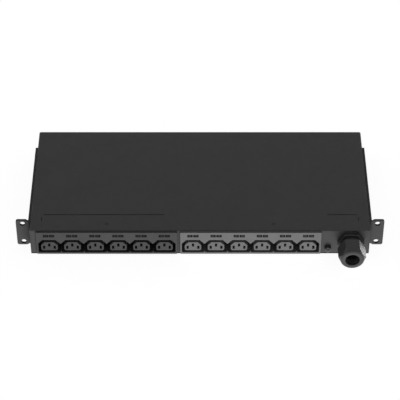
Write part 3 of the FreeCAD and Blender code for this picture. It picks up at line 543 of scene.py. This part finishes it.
finishes["seal_rubber"] = matt_rubber("seal_rubber", tone=0.09)
finishes["black_zinc"] = black_zinc("black_zinc", tone=0.08)
print("rubber and plating:", finishes["seal_rubber"].name, finishes["black_zinc"].name)

# %% [markdown]
# ## Brass and wire
# The bus strips are brass, with rolling marks along their length. A brushed look could be had from
# an anisotropic shader. Noise drawn out along the strip does the same and gives the marks a depth.
# The wires are glossy insulation in the usual three colours, the earth in green and yellow.

# %% Brass and insulation


def rolled_brass(name):
    """Stamped strip with rolling marks along its length."""
    material, tree, shader = start_finish(
        name, (0.72, 0.50, 0.20, 1.0), roughness=0.35, specular=0.5, metallic=1.0)
    marks = noise(tree, size=0.6 * MM, detail=3.0, stretch=(0.02, 1.0, 1.0))
    spread_colour(tree, shader, marks, (0.62, 0.42, 0.16, 1.0), (0.76, 0.55, 0.24, 1.0))
    spread_gloss(tree, shader, marks, low=0.28, high=0.42)
    grain(tree, shader, marks, depth=0.004 * MM, strength=0.5)
    return material


def insulation(name, first, second):
    """Wire insulation: two tones in soft patches."""
    material, tree, shader = start_finish(name, first, roughness=0.32, specular=0.5)
    spread_colour(tree, shader, noise(tree, size=5 * MM, detail=1.0), first, second)
    waves = noise(tree, size=0.8 * MM, detail=1.0)
    grain(tree, shader, waves, depth=0.01 * MM, strength=0.3)
    return material


finishes["brass_strip"] = rolled_brass("rolled_brass")
finishes["line_wire"] = insulation(
    "line_insulation", (0.13, 0.05, 0.02, 1.0), (0.17, 0.07, 0.03, 1.0))
finishes["neutral_wire"] = insulation(
    "neutral_insulation", (0.02, 0.09, 0.33, 1.0), (0.03, 0.12, 0.40, 1.0))
finishes["earth_wire"] = insulation(
    "earth_insulation", (0.05, 0.28, 0.05, 1.0), (0.65, 0.55, 0.04, 1.0))
print("finishes in all:", len(finishes))

# %% [markdown]
# ## Dressing the frame
# The imported record says which slot each node takes its finish from. We could name the nodes one by
# one, but reading the record keeps the two in step. Only the material of a node changes here. Three
# nodes differ from their slot. The gland's body is of the same nylon as its nut, but its faces are
# matt from the tool. The strip under the seam is painted near black, as painted shade in the slots
# over it, and the coat on the flush rivets is painted darker than round them, as painted shade.

# %% Give each node its finish


def dress(obj, finish):
    """Give an object one finish."""
    obj.data.materials.clear()
    obj.data.materials.append(finish)


# Painted shade: the seam strip and the rivets take darkened coats that stand in for shade.
special = {"gland_body": gland_matt, "seam_strip": seam_shade_paint, "flange_rivets": rivet_shade_paint}
for part in frame["record"]["subparts"]:
    name = part["node"]
    dress(frame["nodes"][name], special.get(name, finishes[part["material_slot"]]))

# %% [markdown]
# ## The dome nut
# The nut of the gland is moulded: a hexagon to grip, a short cone that takes off its corners, and a
# round front with a full rim and an open mouth. It could be lathed from one drawn profile. Here we
# start from a cylinder and pull it forward step by step, because each pull is one feature of the
# real nut. First come the helpers that start a piece, pick its faces and measure it.

# %% Start a piece and pick its faces
RIGHT_ANGLE = math.pi / 2


def cylinder_to_front(name, sides, radius, depth, centre, turn=0.0):
    """Cylinder that points to the front, with its place in its mesh."""
    bpy.ops.object.select_all(action="DESELECT")
    bpy.ops.mesh.primitive_cylinder_add(
        vertices=sides, radius=radius, depth=depth, location=centre,
        rotation=(RIGHT_ANGLE, turn, 0.0))
    obj = bpy.context.object
    obj.name = name
    bpy.ops.object.transform_apply(location=True, rotation=True, scale=True)
    return obj


def pick_faces(obj, wanted):
    """Edit mode, with only the faces that a test accepts."""
    bpy.ops.object.mode_set(mode="EDIT")
    bpy.ops.mesh.select_mode(type="FACE")
    bpy.ops.mesh.select_all(action="DESELECT")
    bpy.ops.object.mode_set(mode="OBJECT")
    for face in obj.data.polygons:
        face.select = wanted(face)
    bpy.ops.object.mode_set(mode="EDIT")


def report(obj):
    """Say how many faces a piece has, and how large it is."""
    size = [round(d / MM, 2) for d in obj.dimensions]
    print(obj.name, len(obj.data.polygons), "faces,", size, "mm")


print("modelling helpers ready")

# %% [markdown]
# The barrel is what the cone and the round front leave of the nut's length. Its back gets a small
# chamfer, and an inset there opens the bore. Then the front is pulled forward into the cone and
# into the round front, whose rim is rounded with a bevel.

# %% Barrel, cone and rim
FACING = 0.999
TURN_STEPS = 96
CONE = 3.0 * MM
ROUND_FRONT = 3.3 * MM
RIM_R = 3.0 * MM
RIM_STEPS = 8
BORE_R = 12.1 * MM
BACK_CHAMFER = 0.9 * MM
BACK_CHAMFER_STEPS = 2

nut_low, nut_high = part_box("gland_nut")
nut_axis = (nut_low + nut_high) / 2
corner_r = (nut_high.x - nut_low.x) / 2
flat_r = (nut_high.z - nut_low.z) / 2
nut_length = nut_high.y - nut_low.y
barrel = nut_length - CONE - ROUND_FRONT
barrel_middle = Vector((nut_axis.x, nut_high.y - barrel / 2, nut_axis.z))
nut = cylinder_to_front("dome_nut", TURN_STEPS, corner_r, barrel, barrel_middle)


def pull(distance, scale=1.0):
    """Extrude what is picked along Y, and widen or narrow it about the nut's axis."""
    bpy.ops.mesh.extrude_region_move(TRANSFORM_OT_translate={"value": (0.0, distance, 0.0)})
    bpy.ops.transform.resize(value=(scale, 1.0, scale), center_override=nut_axis)


pick_faces(nut, lambda face: face.normal.y > FACING)
bpy.ops.mesh.bevel(offset=BACK_CHAMFER, segments=BACK_CHAMFER_STEPS, affect="EDGES")
pick_faces(nut, lambda face: face.normal.y > FACING)
bpy.ops.mesh.inset(thickness=corner_r - BACK_CHAMFER - BORE_R)
bpy.ops.mesh.delete(type="FACE")
pick_faces(nut, lambda face: face.normal.y < -FACING)
pull(-CONE, flat_r / corner_r)
pull(-ROUND_FRONT)
bpy.ops.mesh.bevel(offset=RIM_R, segments=RIM_STEPS, affect="EDGES")
bpy.ops.object.mode_set(mode="OBJECT")
report(nut)

# %% [markdown]
# The mouth is an inset of the front, pushed in and widened to the bore, which runs on to the back.
# A bridge joins it to the opening there, so that the nut is a ring with a wall and not a cup. A
# boolean with a stepped rod would cut the same hole, but the bridge leaves clean rows of faces.
# Last, the sharp edge of the mouth is picked by its place and rounded.

# %% Mouth and bore
NEARLY = 0.01 * MM
MOUTH_R = 9.25 * MM
MOUTH = 4.0 * MM
MOUTH_EDGE_R = 1.0 * MM
MOUTH_EDGE_STEPS = 5
BRIDGE = 2.0 * MM


def pick_edges(obj, wanted):
    """Edit mode, with only the edges whose two ends pass a test."""
    bpy.ops.object.mode_set(mode="EDIT")
    bpy.ops.mesh.select_mode(type="EDGE")
    bpy.ops.mesh.select_all(action="DESELECT")
    bpy.ops.object.mode_set(mode="OBJECT")
    points = obj.data.vertices
    for edge in obj.data.edges:
        edge.select = wanted(*(points[i].co for i in edge.vertices))
    bpy.ops.object.mode_set(mode="EDIT")


def on_mouth_edge(point):
    """Whether a point is on the sharp edge between the front and the mouth."""
    reach = math.hypot(point.x - nut_axis.x, point.z - nut_axis.z)
    return abs(point.y - nut_low.y) < NEARLY and abs(reach - MOUTH_R) < 10 * NEARLY


pick_faces(nut, lambda face: face.normal.y < -FACING)
bpy.ops.mesh.inset(thickness=flat_r - RIM_R - MOUTH_R)
pull(MOUTH)
pull(0.0, BORE_R / MOUTH_R)
pull(nut_length - MOUTH - BRIDGE)
bpy.ops.mesh.delete(type="FACE")
bpy.ops.mesh.select_mode(type="EDGE")
bpy.ops.mesh.select_non_manifold()
bpy.ops.mesh.bridge_edge_loops()
pick_edges(nut, lambda a, b: on_mouth_edge(a) and on_mouth_edge(b))
bpy.ops.mesh.bevel(offset=MOUTH_EDGE_R, segments=MOUTH_EDGE_STEPS, affect="EDGES")
bpy.ops.mesh.select_all(action="SELECT")
bpy.ops.mesh.normals_make_consistent(inside=False)
bpy.ops.object.mode_set(mode="OBJECT")
report(nut)

# %% [markdown]
# The six flats come from a hexagonal bar with slightly rounded edges: what the turned body and the
# bar have in common is the nut. Cutting six planes one by one would do as well, but the bar gives
# the rounded edges for nothing. Weighted normals keep the flats flat beside the round rim.

# %% Flats of the nut
FLATS = 6
FLAT_EDGE_R = 0.2 * MM
FLAT_EDGE_STEPS = 3
BAR_OVERLAP = 4.0 * MM
SMOOTH_BELOW = math.radians(35)


def apply_modifier(obj, kind, **settings):
    """Add one modifier, set it and apply it."""
    bpy.ops.object.select_all(action="DESELECT")
    obj.select_set(True)
    bpy.context.view_layer.objects.active = obj
    modifier = obj.modifiers.new(kind.lower(), kind)
    for key, value in settings.items():
        setattr(modifier, key, value)
    bpy.ops.object.modifier_apply(modifier=modifier.name)


bar = cylinder_to_front(
    "hexagon_bar", FLATS, corner_r, nut_length + BAR_OVERLAP, nut_axis, math.pi / FLATS)
pick_edges(bar, lambda a, b: abs(a.y - b.y) > nut_length)
bpy.ops.mesh.bevel(offset=FLAT_EDGE_R, segments=FLAT_EDGE_STEPS, affect="EDGES")
bpy.ops.object.mode_set(mode="OBJECT")
apply_modifier(nut, "BOOLEAN", operation="INTERSECT", object=bar, solver="EXACT")
bpy.data.objects.remove(bar)
bpy.ops.object.shade_smooth_by_angle(angle=SMOOTH_BELOW)
apply_modifier(nut, "WEIGHTED_NORMAL", keep_sharp=True)
dress(nut, finishes["gland_plastic"])
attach(nut, "root")
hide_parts("gland_nut")
report(nut)

# %% [markdown]
# Now the third lamp gets its flag. On a stage a black card would keep its light off the case. In
# Blender, light linking does the same: the lamp lights only what is in its collection, the nut.

# %% Flag of the edge lamp
flag = bpy.data.collections.new("lit_by_lamp_edge")
flag.objects.link(nut)
lamp_edge.light_linking.receiver_collection = flag

# %% [markdown]
# ## The thread of the earth stud
# The stud is threaded from end to end. A thread could be wound from one drawn tooth, but the open
# ends of such a ribbon are hard to close. There is an easier way: a round rod that stands a little
# off its axis, twisted about that axis, is a screw, and its tooth is twice as deep as the rod is
# off centre. So a chamfered cylinder is sliced, twisted and carried to its place. Its two end faces
# are put back on the axis first, and so the thread fades out on the chamfers, as a cut one does.

# %% Threaded stud
THREAD_PITCH = 0.8 * MM
THREAD_DEPTH = 0.45 * MM
THREAD_PLAY = 0.02 * MM
TIP_CHAMFER = 0.6 * MM
ROD_SIDES = 32
SLICES_PER_TURN = 12

stud_low, stud_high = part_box("earth_stud")
stud_axis = (stud_low + stud_high) / 2
stud_length = stud_high.y - stud_low.y
rod_r = (stud_high.x - stud_low.x - THREAD_DEPTH) / 2 - THREAD_PLAY
off_centre = Vector((THREAD_DEPTH / 2, 0.0, 0.0))
turns = stud_length / THREAD_PITCH
stud = cylinder_to_front("threaded_stud", ROD_SIDES, rod_r, stud_length, off_centre)
pick_faces(stud, lambda face: abs(face.normal.y) > FACING)
bpy.ops.mesh.bevel(offset=TIP_CHAMFER, segments=1, affect="EDGES")
pick_faces(stud, lambda face: abs(face.normal.y) > FACING)
bpy.ops.transform.translate(value=-off_centre)
pick_edges(stud, lambda a, b: abs(a.y - b.y) > stud_length / 2)
bpy.ops.mesh.subdivide(number_cuts=round(turns) - 1)
pick_edges(stud, lambda a, b: abs(a.y - b.y) > NEARLY)
bpy.ops.mesh.subdivide(number_cuts=SLICES_PER_TURN - 1)
bpy.ops.object.mode_set(mode="OBJECT")
apply_modifier(
    stud, "SIMPLE_DEFORM", deform_method="TWIST", deform_axis="Y", angle=turns * 2 * math.pi)
stud.location = stud_axis
bpy.ops.object.transform_apply(location=True, rotation=True, scale=True)
bpy.ops.object.shade_smooth_by_angle(angle=SMOOTH_BELOW)
dress(stud, finishes["black_zinc"])
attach(stud, "root")
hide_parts("earth_stud")
report(stud)

# %% [markdown]
# ## Printed numbers
# Above each outlet the bank carries two small dark patches of print, so that an outlet can be named
# over the telephone. We use plain numbers: first the bank and the outlet, then the rating and the
# circuit. A patch is a plane with rounded corners and a film's thickness, modelled once and copied.
# It could be painted on by the bank's own finish, but then its edge would not be a shape.

# %% One patch of print
PRINT_FILM = 0.04 * MM
PATCH_WIDTH = 6.9 * MM
PATCH_HEIGHT = 4.4 * MM
PATCH_CORNER = 0.6 * MM
PATCH_CORNER_STEPS = 4


def ink(name):
    """Dark pad print."""
    material, tree, shader = start_finish(name, grey(0.006), roughness=0.5, specular=0.04)
    spread_colour(tree, shader, noise(tree, size=1.0 * MM, detail=2.0), grey(0.005), grey(0.008))
    return material


bpy.ops.object.select_all(action="DESELECT")
bpy.ops.mesh.primitive_plane_add(size=1.0, rotation=(RIGHT_ANGLE, 0.0, 0.0))
patch = bpy.context.object
patch.name = "patch"
patch.scale = (PATCH_WIDTH, PATCH_HEIGHT, 1.0)
dress(patch, ink("dark_ink"))
bpy.ops.object.transform_apply(location=True, rotation=True, scale=True)
bpy.ops.object.mode_set(mode="EDIT")
bpy.ops.mesh.select_all(action="SELECT")
bpy.ops.mesh.bevel(offset=PATCH_CORNER, segments=PATCH_CORNER_STEPS, affect="VERTICES")
bpy.ops.mesh.select_all(action="SELECT")
bpy.ops.mesh.extrude_region_move(TRANSFORM_OT_translate={"value": (0.0, -PRINT_FILM, 0.0)})
bpy.ops.mesh.select_all(action="SELECT")
bpy.ops.mesh.normals_make_consistent(inside=False)
bpy.ops.object.mode_set(mode="OBJECT")
report(patch)

# %% [markdown]
# The numbers are text made a mesh, and they are cut out of the print, so the moulding shows through
# them, as it does where a printing plate leaves the ink off. Pale digits on top of the patch would
# be simpler, but they would stand proud of it. The digits are thicker than the film, because a
# boolean cuts badly where two faces lie in one plane.

# %% Copies of the patch and their digits
DIGIT_HEIGHT = 2.1 * MM
DIGIT_WIDTH = 0.6
CAP_SHARE = 0.69


def patch_at(place):
    """Copy of the patch, with its own mesh."""
    bpy.ops.object.select_all(action="DESELECT")
    patch.select_set(True)
    bpy.context.view_layer.objects.active = patch
    bpy.ops.object.duplicate()
    copy = bpy.context.object
    copy.location = place
    bpy.ops.object.transform_apply(location=True, rotation=True, scale=True)
    return copy


def digits_at(text, place):
    """Number as a mesh, thicker than the film that it is cut from."""
    bpy.ops.object.select_all(action="DESELECT")
    bpy.ops.object.text_add(location=place, rotation=(RIGHT_ANGLE, 0.0, 0.0))
    digits = bpy.context.object
    digits.data.body = text
    digits.data.size = DIGIT_HEIGHT / CAP_SHARE
    digits.data.align_x = "CENTER"
    digits.data.align_y = "CENTER"
    digits.data.extrude = 2 * PRINT_FILM
    digits.scale = (DIGIT_WIDTH, 1.0, 1.0)
    bpy.ops.object.convert(target="MESH")
    bpy.ops.object.transform_apply(location=True, rotation=True, scale=True)
    return digits


print("digits are", round(DIGIT_HEIGHT / MM, 2), "mm high")

# %% [markdown]
# A bank takes twelve patches. Their places follow from the housing's box: the pitch of the wells
# gives each outlet's middle, and the print hangs a fixed distance below the housing's top. The
# numbers of a bank are cut from its patches in one go.

# %% Numbers on the banks
PRINT_DROP = 6.0 * MM
PATCH_PITCH = 7.7 * MM
OUTLETS = 6
WELL_PITCH = 30.1 * MM
RATING = 10
CIRCUIT = 20


def joined(objects, name):
    """Several objects made one."""
    bpy.ops.object.select_all(action="DESELECT")
    for obj in objects:
        obj.select_set(True)
    bpy.context.view_layer.objects.active = objects[0]
    bpy.ops.object.join()
    objects[0].name = name
    return objects[0]


def number_bank(side, bank):
    """All the print of one bank, as one piece."""
    low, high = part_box("outlet_housing_" + side)
    patches, numbers = [], []
    for i in range(OUTLETS):
        middle = (low.x + high.x) / 2 + (i - (OUTLETS - 1) / 2) * WELL_PITCH
        for step, text in ((-0.5, f"{bank:02d}{i + 1:02d}"), (0.5, f"{RATING}{CIRCUIT + bank}")):
            place = Vector((middle + step * PATCH_PITCH, low.y, high.z - PRINT_DROP))
            patches.append(patch_at(place))
            numbers.append(digits_at(text, place))
    numbers = joined(numbers, "cutter_" + side)
    piece = joined(patches, "numbers_" + side)
    apply_modifier(piece, "BOOLEAN", operation="DIFFERENCE", object=numbers, solver="EXACT")
    bpy.data.objects.remove(numbers)
    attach(piece, "root")
    return piece


for bank, side in enumerate(("left", "right"), start=1):
    piece = number_bank(side, bank)
    film = sum(face.area for face in piece.data.polygons if face.normal.y < -FACING)
    report(piece)
    print(piece.name, "has", round(film / MM ** 2, 1), "mm2 of ink")
bpy.data.objects.remove(patch)

# %% [markdown]
# ## Measuring up
# Last we print how much the box of the dressed part differs from the box of the frame. The two
# have to agree.

# %% Finish
new_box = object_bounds()
growth = new_box[1] - new_box[0] - cad_size
print("grown by", [round(x / MM, 3) for x in growth], "mm")
